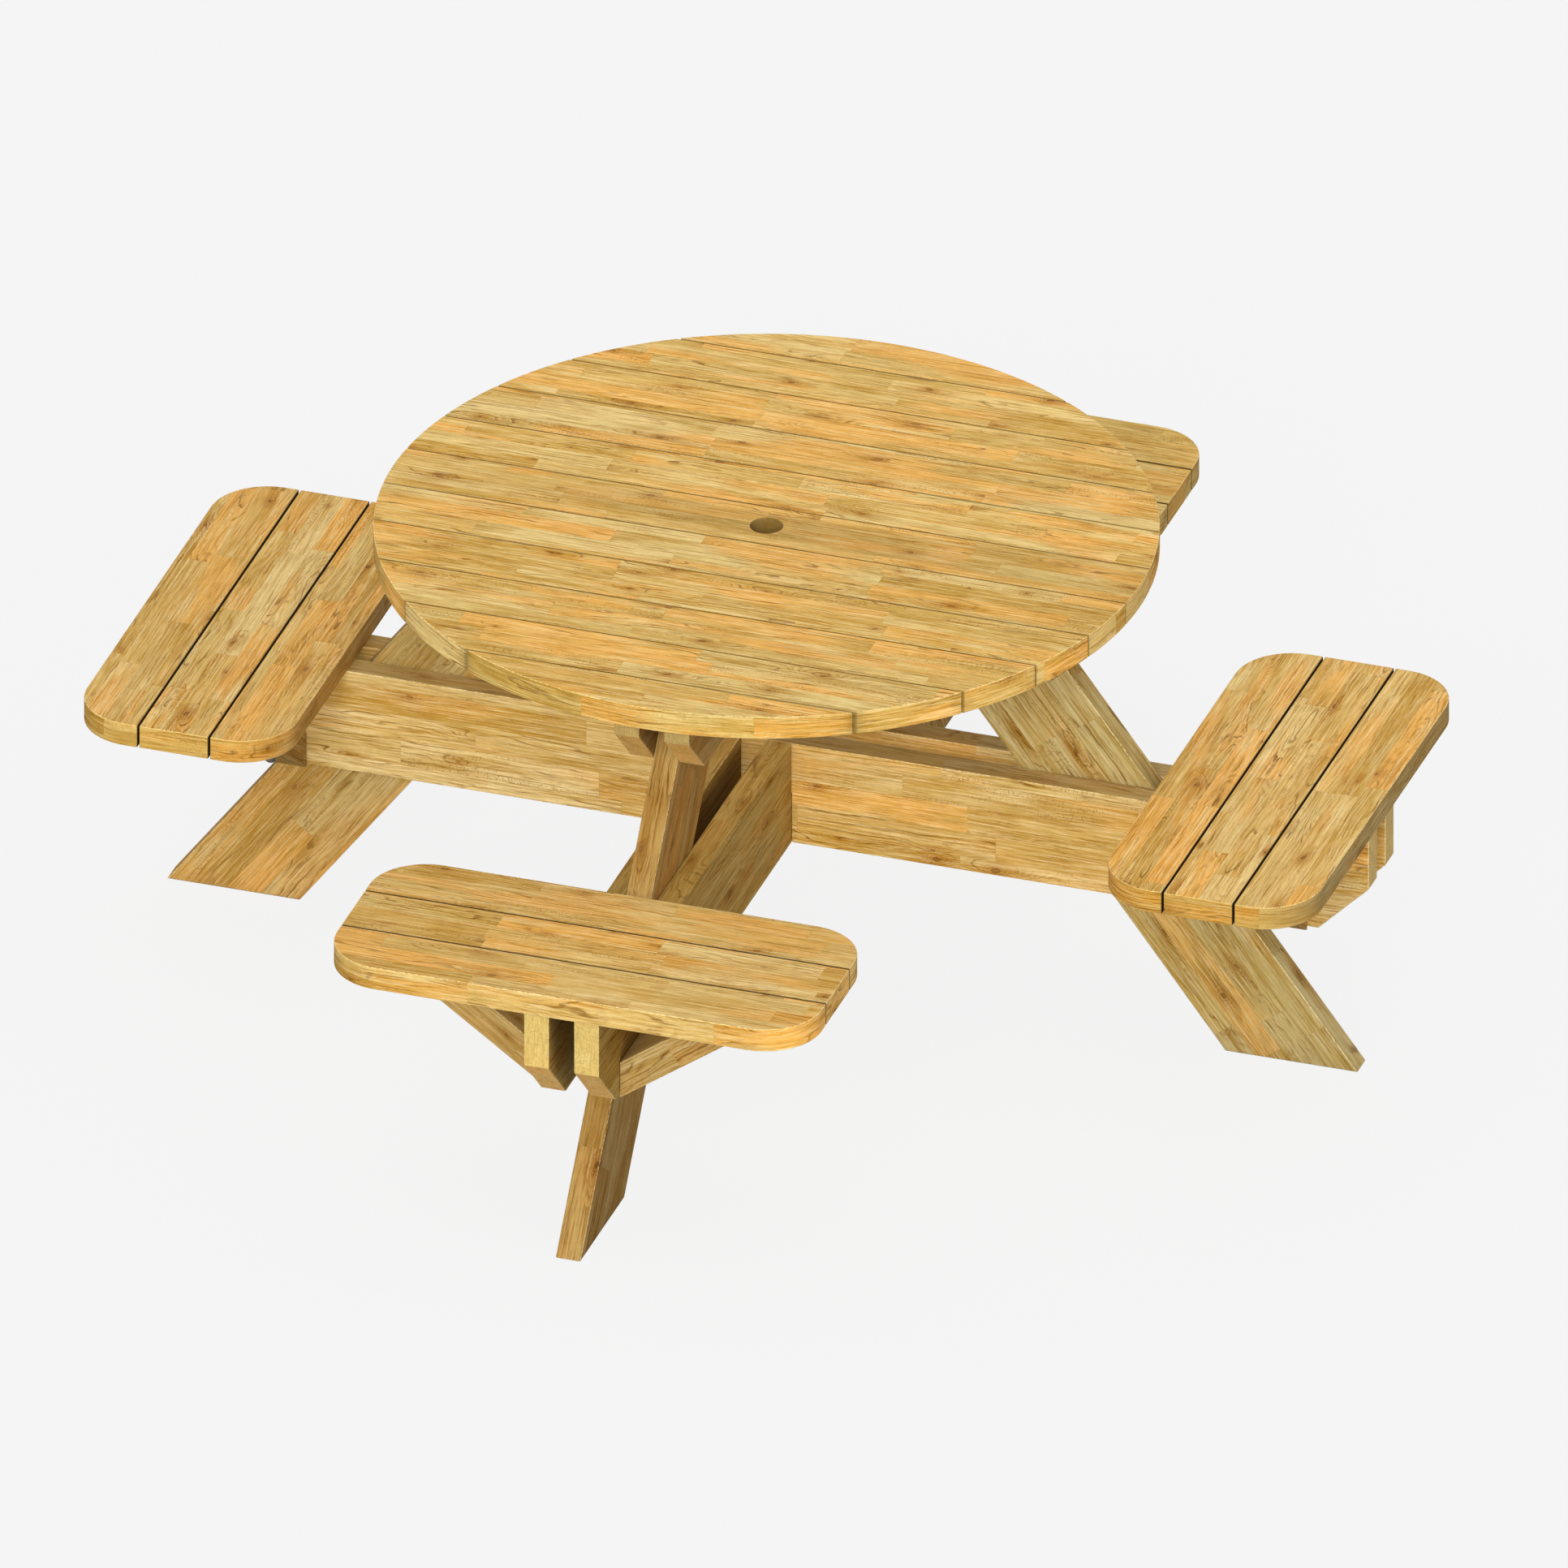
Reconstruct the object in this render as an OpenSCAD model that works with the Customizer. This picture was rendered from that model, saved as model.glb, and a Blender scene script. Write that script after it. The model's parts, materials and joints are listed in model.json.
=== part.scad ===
// Round picnic table with four bench seats on a crossed timber frame.
// Units are millimetres. +Z is up, the feet stand on Z = 0, and the origin
// is on the floor under the centre of the table top. The top boards run
// along X; one seat faces each of -Y (front), +X (right), +Y (back), -X (left).

/* [Table top] */
// Height of the top face of the table above the floor
table_h = 771; // [745:1:790]
// Diameter of the round table top
top_d = 1192; // [1160:1:1220]
// Diameter of the parasol hole in the middle board
parasol_d = 50; // [30:1:60]

/* [Seats] */
// Height of the top face of the seats above the floor
seat_h = 473; // [460:1:485]
// Length of each seat
seat_len = 774; // [700:2:800]
// Distance from the table's centre to the outer edge of a seat
seat_reach = 986; // [978:1:1000]
// Radius of the rounded seat corners
seat_corner_r = 90; // [40:1:100]

/* [Boards of the top and seats] */
// Thickness of the boards
board_t = 38; // [36:1:40]
// Width of the boards
board_w = 110; // [108:1:112]
// Gap between two neighbouring boards
board_gap = 3; // [2:0.5:5]

/* [Frame] */
// Thickness of the rails, bearers and legs
frame_t = 40; // [38:1:42]
// Depth of the lower rails that carry the seats
rail_w = 172; // [160:1:180]
// Distance from the centre to the end of a lower rail
rail_reach = 982; // [976:1:984]
// Size of the 45 degree cut under each rail end
rail_cut = 81; // [60:1:83]
// Depth of the upper bearers under the top
bearer_w = 118; // [110:1:125]
// Distance from the centre to the end of an upper bearer
bearer_reach = 550; // [542:1:556]
// Size of the 45 degree cut under each bearer end
bearer_cut = 75; // [50:1:78]

/* [Legs] */
// Distance from the centre to the outer tip of a foot
foot_reach = 951; // [940:1:965]
// Width of a leg board
leg_w = 169; // [160:1:175]
// Lean of the legs, measured up from the floor
leg_angle = 53; // [52:0.5:54]

/* [Seat braces] */
// Distance from the centre to the outer face of a brace
brace_reach = 884; // [876:1:892]
// Width of a brace board
brace_w = 170; // [160:1:176]
// Thickness of a brace board
brace_t = 50; // [45:1:52]
// Angle a brace rises at
brace_angle = 35.5; // [34:0.5:37]
// How far the heel of a brace hangs below its rail
brace_drop = 7; // [0:1:10]

/* [Screws] */
// Shank diameter of the structural screws
screw_d = 8; // [6:0.5:8]
// Diameter of the washer head
head_d = 20; // [16:1:22]

/* [Hidden] */
$fn = 64;

// heights
top_under  = table_h - board_t;        // underside of the table top
seat_under = seat_h - board_t;         // underside of the seats and top of the rails
rail_bot   = seat_under - rail_w;
bearer_bot = top_under - bearer_w;
rail_mid   = seat_under - rail_w/2;    // level where crossing rails meet
bearer_mid = top_under - bearer_w/2;   // level where crossing bearers meet

// boards of the top and seats
top_r      = top_d/2;
top_count  = 11;                       // boards in the top
top_middle = (top_count + 1)/2;        // number of the middle board
pitch      = board_w + board_gap;
seat_w     = 3*board_w + 2*board_gap;

// frame
side_y      = frame_t;                 // middle of a rail or bearer, off the arm's midline
face_y      = 1.5*frame_t;             // outer face of a rail or bearer
leg_run     = 1/tan(leg_angle);        // horizontal run of a leg per unit of height
foot_len    = leg_w/sin(leg_angle);
brace_run   = 1/tan(brace_angle);      // horizontal run of a brace per unit of height
brace_v     = brace_t/cos(brace_angle);  // vertical thickness of a brace
heel_z      = rail_bot - brace_drop;
notch_play  = 0.75;                    // play on each side of a halving joint
notch_over  = 10;                      // how far a notch cutter passes the board's edge

// screw: head, tip and the bore around it
flange_t  = 1.6;                       // flat lower part of the head
crown_t   = 2.2;                       // tapered upper part of the head
recess_z  = 1;                         // floor of the drive recess and top of the shank
recess_r  = 2.9;
tip_len   = 10;
tip_r     = 0.8;
bore_play = 0.1;                       // radial play of a screw in its bore
bore_d    = screw_d + 2*bore_play;
bore_over = 20;                        // how far a plain bore runs out on the head's side
well_d    = head_d + 3;                // counterbore that sinks a screw head
brace_well = 60;                       // long enough to leave a brace
end_well   = 60;                       // long enough to leave a bearer at a slant

// screw lengths, under the head
len_leg    = 110;
len_top    = 70;
len_end    = 45;
len_seat   = 80;
len_heel   = 85;
len_cap    = 58;
len_rail   = 110;                      // where rails cross
len_bearer = 75;                       // where bearers cross

// screw places
board_bite = 26;                       // depth of an upright screw in a top or seat board
rail_spots   = leg_spots([300, 398], 52);
bearer_spots = leg_spots([650, 704], 50);
heel_screw_z = heel_z + 38;
heel_screw_y = face_y + 50;            // where the heads of the heel screws bear
heel_inset   = 42;                     // from a brace's edges to its heel screws
heel_x       = [brace_reach - brace_w + heel_inset, brace_reach - heel_inset];
cap_x        = [board_x(0) + 0.72*board_w, board_x(1) + board_w/2];
cap_y        = face_y + (seat_under - heel_z - brace_v/2)*brace_run;
rail_joint_z   = rail_mid - 56;
bearer_joint_z = bearer_mid - 42;
middle_board_x = [-452, -180, 180, 452];  // screws into the bearers along X
end_inset = 20;                        // from a bearer's end to its slanted screws
end_slant = 40;                        // tilt of those screws from upright
end_depth = 17;                        // from the top's underside to their heads, on the slant
well_edge = 0.5;                       // least wood between a seat screw's well and the rail cut

// middle of a leg's width at height z
function leg_x(z) = foot_reach - foot_len/2 - z*leg_run;
// [distance along the arm, height] of leg screws, a pair at each height
function leg_spots(heights, offset) =
    [for (z = heights, side = [-1, 1]) [leg_x(z) + side*offset, z]];
// inner edge of seat board i, 0 = inner, 1 = middle, 2 = outer
function board_x(i) = seat_reach - seat_w + i*pitch;
// middle of top board k in Y, counted from 1 at the front
function top_y(k) = (k - top_middle)*pitch;
// screws of seat board i: mid-board, but inside the flat part of the rail's underside
function seat_screw_x(i) =
    min(board_x(i) + board_w/2, rail_reach - rail_cut - well_d/2 - well_edge);

wood_top   = [0.85, 0.69, 0.42];
wood_seat  = [0.83, 0.67, 0.40];
wood_frame = [0.78, 0.61, 0.36];
steel      = [0.70, 0.71, 0.72];

// ---------------------------------------------------------------- arms
// Every arm is drawn along +X and then placed. The frame along Y is the
// frame along X turned a quarter turn, and an arm's twin is its mirror image.
module y_frame() rotate([0, 0, 90]) children();
module twin() mirror([1, 0, 0]) children();
module both_arms() {
    children();
    twin() children();
}
module four_arms() {
    both_arms() children();
    y_frame() both_arms() children();
}
module on_arm(place) {
    if (place == "right") children();
    if (place == "left")  twin() children();
    if (place == "back")  y_frame() children();
    if (place == "front") y_frame() twin() children();
}

// ---------------------------------------------------------------- screws
// A washer-head timber screw; the seat of its head is at the origin and its
// shank points down. The head has a six-sided drive recess.
module screw(length) {
    difference() {
        union() {
            cylinder(h = flange_t, r = head_d/2);
            translate([0, 0, flange_t])
                cylinder(h = crown_t, r1 = head_d/2 - 1, r2 = head_d/2 - 4);
            translate([0, 0, tip_len - length])
                cylinder(h = length - tip_len + recess_z, r = screw_d/2);
            translate([0, 0, -length]) cylinder(h = tip_len, r1 = tip_r, r2 = screw_d/2);
        }
        translate([0, 0, recess_z]) cylinder(h = 4, r = recess_r, $fn = 6);
    }
}
// The bore a screw fills, 1 mm longer than its tip, with a well of the given
// depth above the seat of its head
module bore(length, well = 0) {
    translate([0, 0, -length - 1])
        cylinder(h = length + 1 + (well > 0 ? 0.01 : bore_over), r = bore_d/2);
    if (well > 0) cylinder(h = well, r = well_d/2);
}

// Places of the screws; local +Z is the head's side
module head_down() rotate([180, 0, 0]) children();

// On the arm along +X
module at_leg(spots)
    for (spot = spots)
        translate([spot[0], face_y, spot[1]]) rotate([-90, 0, 0]) children();
module at_seat_rail()
    for (i = [0:2], side = [-1, 1])
        translate([seat_screw_x(i), side*side_y, seat_under - len_seat + board_bite])
            head_down() children();
module at_heel()
    for (x = heel_x, side = [-1, 1])
        translate([x, side*heel_screw_y, heel_screw_z]) rotate([-side*90, 0, 0]) children();
module at_cap()
    for (x = cap_x, side = [-1, 1])
        translate([x, side*cap_y, seat_under - len_cap + board_bite]) head_down() children();

// Where the crossing boards of the frame meet
module at_crossing(z)
    for (x = [-1, 1], y = [-1, 1])
        translate([x*side_y, y*side_y, z]) head_down() children();

// Up through the bearers along Y, into all but the first and last top boards
module at_top_y()
    for (k = [2:top_count - 1], side = [-1, 1])
        translate([side*side_y, top_y(k), top_under - len_top + board_bite])
            head_down() children();
// Up through the bearers along X, into the middle top board
module at_top_x()
    for (x = middle_board_x, side = [-1, 1])
        translate([x, side*side_y, top_under - len_top + board_bite]) head_down() children();
// The first and last top boards lie over the cut ends of the bearers, so
// their screws rise at a slant out of pockets in the bearers' -X faces
module at_top_end()
    for (y = [-1, 1], side = [-1, 1])
        translate([side*side_y, y*(bearer_reach - end_inset), top_under])
            rotate([0, end_slant, 0]) translate([0, 0, -end_depth]) head_down() children();

// ---------------------------------------------------------------- rails and bearers
// Long board on edge with its lower end corners cut off at 45 degrees,
// centred on Y = 0, from height bottom up to height top
module edge_board(reach, cut, bottom, top) {
    translate([0, frame_t/2, 0]) rotate([90, 0, 0]) linear_extrude(frame_t)
        polygon([[-reach, top], [-reach, bottom + cut], [-reach + cut, bottom],
                 [reach - cut, bottom], [reach, bottom + cut], [reach, top]]);
}
// The two notches where the boards of the crossing pair pass
module notches(bottom, top) {
    for (side = [-1, 1])
        translate([side*side_y - frame_t/2 - notch_play, -frame_t, bottom])
            cube([frame_t + 2*notch_play, 2*frame_t, top - bottom]);
}
// Edge board at Y = side*side_y, notched to half its depth from below or from above
module halved_board(side, below, reach, cut, bottom, top) {
    middle = (bottom + top)/2;
    translate([0, side*side_y, 0]) difference() {
        edge_board(reach, cut, bottom, top);
        if (below) notches(bottom - notch_over, middle + notch_play);
        else       notches(middle - notch_play, top + notch_over);
    }
}
// Rail of the frame along X; the pair along X is notched from below
module rail(side, below) {
    color(wood_frame) difference() {
        halved_board(side, below, rail_reach, rail_cut, rail_bot, seat_under);
        both_arms() {
            at_leg(rail_spots) bore(len_leg);
            at_seat_rail() bore(len_seat, well = rail_w);
            at_heel() bore(len_heel, well = brace_well);
        }
        at_crossing(rail_joint_z) bore(len_rail, well = rail_w);
    }
}
// Bearer of the frame along X; here the pair along Y is notched from below,
// and its top screws are turned back to match the board before it is placed
module bearer(side, below) {
    color(wood_frame) difference() {
        halved_board(side, below, bearer_reach, bearer_cut, bearer_bot, top_under);
        both_arms() at_leg(bearer_spots) bore(len_leg);
        at_crossing(bearer_joint_z) bore(len_bearer, well = bearer_w);
        if (below) rotate([0, 0, -90]) {
            at_top_y() bore(len_top, well = bearer_w);
            at_top_end() bore(len_end, well = end_well);
        }
        else at_top_x() bore(len_top, well = bearer_w);
    }
}

// ---------------------------------------------------------------- legs, seats and top
// Raking leg board, cut level at the floor and under the top
module leg() {
    lean = top_under*leg_run;
    color(wood_frame) difference() {
        translate([0, frame_t/2, 0]) rotate([90, 0, 0]) linear_extrude(frame_t)
            polygon([[foot_reach - foot_len, 0], [foot_reach, 0],
                     [foot_reach - lean, top_under],
                     [foot_reach - foot_len - lean, top_under]]);
        at_leg(rail_spots) bore(len_leg);
        at_leg(bearer_spots) bore(len_leg);
    }
}
// Outline of a seat with rounded corners
module seat_outline() {
    corner = seat_corner_r;
    translate([seat_reach - seat_w, -seat_len/2]) {
        translate([corner, 0]) square([seat_w - 2*corner, seat_len]);
        translate([0, corner]) square([seat_w, seat_len - 2*corner]);
        for (x = [corner, seat_w - corner], y = [corner, seat_len - corner])
            translate([x, y]) circle(r = corner);
    }
}
// Seat board i of the arm along +X
module seat_board(i) {
    color(wood_seat) difference() {
        translate([0, 0, seat_under]) linear_extrude(board_t) intersection() {
            seat_outline();
            translate([board_x(i), -seat_len]) square([board_w, 2*seat_len]);
        }
        at_seat_rail() bore(len_seat);
        at_cap() bore(len_cap);
    }
}
// Raking brace under a seat, on the +Y or -Y side of the rails: heel cut
// plumb against the rail, top cut level under the seat
module brace(side) {
    upper_z = heel_z + brace_v;        // upper face at the rail
    color(wood_frame) difference() {
        translate([brace_reach - brace_w, 0, 0])
            mirror([0, side > 0 ? 0 : 1, 0])
                rotate([90, 0, 90]) linear_extrude(brace_w)
                    polygon([[face_y, heel_z],
                             [face_y + (seat_under - heel_z)*brace_run, seat_under],
                             [face_y + (seat_under - upper_z)*brace_run, seat_under],
                             [face_y, upper_z]]);
        at_heel() bore(len_heel, well = brace_well);
        at_cap() bore(len_cap, well = brace_well);
    }
}
// Top board k, cut to the round outline
module top_board(k) {
    color(wood_top) difference() {
        translate([0, 0, top_under]) linear_extrude(board_t) difference() {
            intersection() {
                circle(r = top_r, $fn = 180);
                translate([-top_r, top_y(k) - board_w/2]) square([2*top_r, board_w]);
            }
            if (k == top_middle) circle(d = parasol_d);
        }
        at_top_y() bore(len_top);
        at_top_x() bore(len_top);
        at_top_end() bore(len_end);
    }
}

// ---------------------------------------------------------------- screw sets
module leg_rail_screws()     color(steel) four_arms() at_leg(rail_spots) screw(len_leg);
module leg_bearer_screws()   color(steel) four_arms() at_leg(bearer_spots) screw(len_leg);
module top_board_screws()    color(steel) {
    at_top_y() screw(len_top);
    at_top_x() screw(len_top);
}
module top_end_screws()      color(steel) at_top_end() screw(len_end);
module seat_board_screws()   color(steel) four_arms() at_seat_rail() screw(len_seat);
module brace_heel_screws()   color(steel) four_arms() at_heel() screw(len_heel);
module brace_cap_screws()    color(steel) four_arms() at_cap() screw(len_cap);
module rail_joint_screws()   color(steel) at_crossing(rail_joint_z) screw(len_rail);
module bearer_joint_screws() color(steel) at_crossing(bearer_joint_z) screw(len_bearer);

// ---------------------------------------------------------------- assembly
top_board(1);  // top_board_01
top_board(2);  // top_board_02
top_board(3);  // top_board_03
top_board(4);  // top_board_04
top_board(5);  // top_board_05
top_board(6);  // top_board_06
top_board(7);  // top_board_07
top_board(8);  // top_board_08
top_board(9);  // top_board_09
top_board(10);  // top_board_10
top_board(11);  // top_board_11

bearer(-1, below = false);  // bearer_x_front
bearer(1, below = false);  // bearer_x_back
y_frame() bearer(1, below = true);  // bearer_y_left
y_frame() bearer(-1, below = true);  // bearer_y_right

rail(-1, below = true);  // rail_x_front
rail(1, below = true);  // rail_x_back
y_frame() rail(1, below = false);  // rail_y_left
y_frame() rail(-1, below = false);  // rail_y_right

on_arm("front") leg();  // leg_front
on_arm("right") leg();  // leg_right
on_arm("back") leg();  // leg_back
on_arm("left") leg();  // leg_left

on_arm("front") seat_board(0);  // seat_front_board_inner
on_arm("front") seat_board(1);  // seat_front_board_middle
on_arm("front") seat_board(2);  // seat_front_board_outer
on_arm("right") seat_board(0);  // seat_right_board_inner
on_arm("right") seat_board(1);  // seat_right_board_middle
on_arm("right") seat_board(2);  // seat_right_board_outer
on_arm("back") seat_board(0);  // seat_back_board_inner
on_arm("back") seat_board(1);  // seat_back_board_middle
on_arm("back") seat_board(2);  // seat_back_board_outer
on_arm("left") seat_board(0);  // seat_left_board_inner
on_arm("left") seat_board(1);  // seat_left_board_middle
on_arm("left") seat_board(2);  // seat_left_board_outer

on_arm("front") brace(1);  // brace_front_left
on_arm("front") brace(-1);  // brace_front_right
on_arm("right") brace(-1);  // brace_right_front
on_arm("right") brace(1);  // brace_right_back
on_arm("back") brace(1);  // brace_back_left
on_arm("back") brace(-1);  // brace_back_right
on_arm("left") brace(-1);  // brace_left_front
on_arm("left") brace(1);  // brace_left_back

leg_rail_screws();
leg_bearer_screws();
top_board_screws();
top_end_screws();
seat_board_screws();
brace_heel_screws();
brace_cap_screws();
rail_joint_screws();
bearer_joint_screws();
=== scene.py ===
# A timber table with seats on its four sides. Z is up and the floor is at z = 0. The
# parasol hole runs down the Z axis, and the top boards lie along X, side by side in Y.
# "front" is -Y, "back" is +Y, "left" is -X and "right" is +X.
import json
import math
import random
from collections import namedtuple
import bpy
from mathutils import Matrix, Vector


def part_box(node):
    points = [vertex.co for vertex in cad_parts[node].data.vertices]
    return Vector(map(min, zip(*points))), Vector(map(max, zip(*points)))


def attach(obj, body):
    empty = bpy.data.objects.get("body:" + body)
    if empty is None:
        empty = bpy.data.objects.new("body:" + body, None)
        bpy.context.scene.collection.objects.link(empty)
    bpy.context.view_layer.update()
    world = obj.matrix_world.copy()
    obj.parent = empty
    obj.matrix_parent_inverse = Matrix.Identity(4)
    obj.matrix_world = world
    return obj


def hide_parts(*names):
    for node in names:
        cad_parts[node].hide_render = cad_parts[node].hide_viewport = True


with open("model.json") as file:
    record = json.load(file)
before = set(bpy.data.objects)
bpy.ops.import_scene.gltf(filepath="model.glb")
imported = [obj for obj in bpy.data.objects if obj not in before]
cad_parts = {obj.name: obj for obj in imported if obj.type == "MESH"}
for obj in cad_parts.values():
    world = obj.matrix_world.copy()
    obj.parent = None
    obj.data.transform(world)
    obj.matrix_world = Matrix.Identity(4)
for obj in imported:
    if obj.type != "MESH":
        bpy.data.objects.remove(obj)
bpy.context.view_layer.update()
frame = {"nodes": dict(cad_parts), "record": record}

from types import SimpleNamespace

import bmesh
import bpy
from mathutils import Matrix, Vector

NODES = frame["nodes"]
MATERIAL_SLOTS = {s["node"]: s["material_slot"] for s in frame["record"]["subparts"]}


def lin(red, green, blue):
    """sRGB 0..255 to a linear RGBA colour."""
    def channel(level):
        level /= 255.0
        return level / 12.92 if level <= 0.04045 else ((level + 0.055) / 1.055) ** 2.4
    return (channel(red), channel(green), channel(blue), 1.0)


# ---------------------------------------------------------------- node graphs
class Value:
    """A node's output. Arithmetic on it adds Math nodes to its graph."""

    def __init__(self, graph, socket):
        self.graph = graph
        self.socket = socket

    def __add__(self, other):
        return self.graph.math("ADD", self, other)

    def __radd__(self, other):
        return self.graph.math("ADD", other, self)

    def __sub__(self, other):
        return self.graph.math("SUBTRACT", self, other)

    def __rsub__(self, other):
        return self.graph.math("SUBTRACT", other, self)

    def __mul__(self, other):
        return self.graph.math("MULTIPLY", self, other)

    def __rmul__(self, other):
        return self.graph.math("MULTIPLY", other, self)

    def __truediv__(self, other):
        return self.graph.math("DIVIDE", self, other)

    def __pow__(self, other):
        return self.graph.math("POWER", self, other)


class Graph:
    """Wires the shader nodes of a material or world; an input is a Value or a constant."""

    def __init__(self, owner):
        owner.use_nodes = True
        self.tree = owner.node_tree
        self.tree.nodes.clear()

    def add(self, kind, inputs=None, **settings):
        """A new node. inputs maps socket names or numbers to what goes in."""
        node = self.tree.nodes.new("ShaderNode" + kind)
        count = len(self.tree.nodes)
        node.location = ((count % 24) * 180, -(count // 24) * 220)
        for key, setting in settings.items():
            setattr(node, key, setting)
        for key, item in (inputs or {}).items():
            if isinstance(item, Value):
                self.tree.links.new(item.socket, node.inputs[key])
            elif item is not None:
                node.inputs[key].default_value = item
        return node

    def value(self, kind, inputs=None, output=0, **settings):
        return Value(self, self.add(kind, inputs, **settings).outputs[output])

    def math(self, operation, first, second=None, clamp=False):
        return self.value("Math", {0: first, 1: second}, operation=operation, use_clamp=clamp)

    def vector(self, operation, first, second=None, scale=None):
        return self.value("VectorMath", {0: first, 1: second, "Scale": scale},
                          "Value" if operation == "DOT_PRODUCT" else "Vector",
                          operation=operation)

    def xyz(self, x, y, z):
        return self.value("CombineXYZ", {0: x, 1: y, 2: z})

    def split(self, vector):
        return [Value(self, out) for out in self.add("SeparateXYZ", {0: vector}).outputs]

    def attribute(self, name, output="Vector"):
        return self.value("Attribute", output=output, attribute_name=name)

    def noise(self, place, scale, detail, rough, distortion=0.0):
        return self.value("TexNoise", {"Vector": place, "Scale": scale, "Detail": detail,
                                       "Roughness": rough, "Distortion": distortion},
                          noise_dimensions="3D")

    def field(self, place, stretch, detail=2.0, rough=0.5, shift=None, distortion=0.0):
        """Noise with its own frequency along each axis."""
        place = self.vector("MULTIPLY", place, stretch)
        if shift is not None:
            place = self.vector("ADD", place, shift)
        return self.noise(place, 1.0, detail, rough, distortion)

    def white(self, seed, output="Value"):
        return self.value("TexWhiteNoise", {"Vector": seed}, output, noise_dimensions="3D")

    def remap(self, value, from_min, from_max, to_min, to_max, curve="LINEAR"):
        return self.value("MapRange", {"Value": value, "From Min": from_min,
                                       "From Max": from_max, "To Min": to_min,
                                       "To Max": to_max},
                          interpolation_type=curve, clamp=True)

    def step(self, value, off, on):
        """A smooth step from 0 at off to 1 at on; off may be the larger of the two."""
        if off > on:
            return self.remap(value, on, off, 1.0, 0.0, "SMOOTHSTEP")
        return self.remap(value, off, on, 0.0, 1.0, "SMOOTHSTEP")

    def mix(self, factor, first, second):
        return self.value("Mix", {0: factor, 6: first, 7: second}, 2,
                          data_type="RGBA", blend_type="MIX", clamp_factor=True)

    def paint(self, base, *layers):
        """Lays colours over base, in order; a layer is (mask, strength, sRGB colour)."""
        for mask, strength, rgb in layers:
            base = self.mix(mask * strength, base, lin(*rgb))
        return base

    def ramp(self, factor, stops):
        node = self.add("ValToRGB", {0: factor})
        elements = node.color_ramp.elements
        while len(elements) < len(stops):
            elements.new(0.5)
        for element, (position, color) in zip(elements, stops):
            element.position = position
            element.color = color
        return Value(self, node.outputs[0])

    def bump(self, height, strength, distance):
        return self.value("Bump", {"Strength": strength, "Distance": distance,
                                   "Height": height})

    def mix_shader(self, factor, first, second):
        return self.value("MixShader", {0: factor, 1: first, 2: second})


# ---------------------------------------------------------------- timber
# the colours a lamella can have: (place on the ramp, colour)
TONES = [(0.00, lin(199, 155, 72)), (0.14, lin(209, 167, 88)), (0.32, lin(218, 178, 102)),
         (0.50, lin(213, 180, 108)), (0.66, lin(230, 198, 132)), (0.79, lin(220, 178, 98)),
         (0.88, lin(235, 178, 90)), (1.00, lin(238, 180, 94))]
# oil deepens the figure: colours are spread about their mean, down to a floor
PUNCH = 1.20
MEAN_COLOR = Vector(lin(208, 166, 92)[:3])
DARKEST = (0.060, 0.022, 0.003)

KNOT_CELL = (165.0, 47.0)  # mm along and across the grain, at most one knot in each
BOARD_LAMELLA = 37.0  # mm, lamella width in the top and the seats
FRAME_LAMELLA = 43.0


def lamellae(g, wood, piece, width, length, seed):
    """Rows across the board, each cut into staggered lengths with random numbers."""
    x, y, z = g.split(wood)
    row_place = y / width
    row = g.math("FLOOR", row_place)
    in_row = g.math("FRACT", row_place)
    shift = g.white(g.xyz(row, piece, seed + 3.1))
    row_length = length * (0.70 + shift * 0.75)
    cut_place = (x + shift * 977.0) / row_length
    cut = g.math("FLOOR", cut_place)
    in_cut = g.math("FRACT", cut_place)
    identity = g.xyz(row, cut, piece + seed)
    chance = g.white(identity, "Color")
    flatness, tone, _ = g.split(chance)
    spacing, tilt, fleck = g.split(
        g.white(g.vector("ADD", identity, (17.3, 5.7, 2.9)), "Color"))
    # every lamella is cut from its own place in the tree
    tree = g.vector("ADD", wood, g.vector("MULTIPLY", chance, (3100.0, 2300.0, 1700.0)))
    return SimpleNamespace(
        y=y, z=z, tree=tree, flatness=flatness, tone=tone, spacing=spacing, tilt=tilt,
        fleck=fleck, to_butt=g.math("MINIMUM", in_cut, 1.0 - in_cut) * row_length,
        to_row=g.math("MINIMUM", in_row, 1.0 - in_row) * width)


def knots(g, tree):
    """Sparse, small, irregular knots that run aslant through the board."""
    cell_x, cell_y = KNOT_CELL
    x, y, z = g.split(tree)
    place = g.xyz(x / cell_x, (y + z * 1.3) / cell_y, 0.0)
    cells = g.add("TexVoronoi", {"Vector": place, "Scale": 1.0, "Randomness": 0.9},
                  voronoi_dimensions="2D", feature="F1", distance="EUCLIDEAN")
    chance, size_chance, _ = g.split(Value(g, cells.outputs["Color"]))
    present = g.step(chance, 0.62, 0.64)
    centre = Value(g, cells.outputs["Position"])
    along, across, _ = g.split(g.vector("SUBTRACT", place, centre))
    warp = g.field(tree, (0.024, 0.085, 0.07)) - 0.5
    along = along * cell_x + warp * 26.0
    across = across * cell_y + warp * 13.0
    size = 0.45 + size_chance * 0.85

    def oval(squeeze):
        return g.math("SQRT", (along * squeeze) ** 2.0 + across ** 2.0) / size

    near, far = oval(0.50), oval(0.24)
    return SimpleNamespace(
        present=present, warp=warp, near=near, far=far,
        core=present * g.step(near, 4.4, 1.4),
        halo=present * g.step(near, 15.0, 2.5),
        flame=present * g.step(far, 19.0, 3.0))


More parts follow.
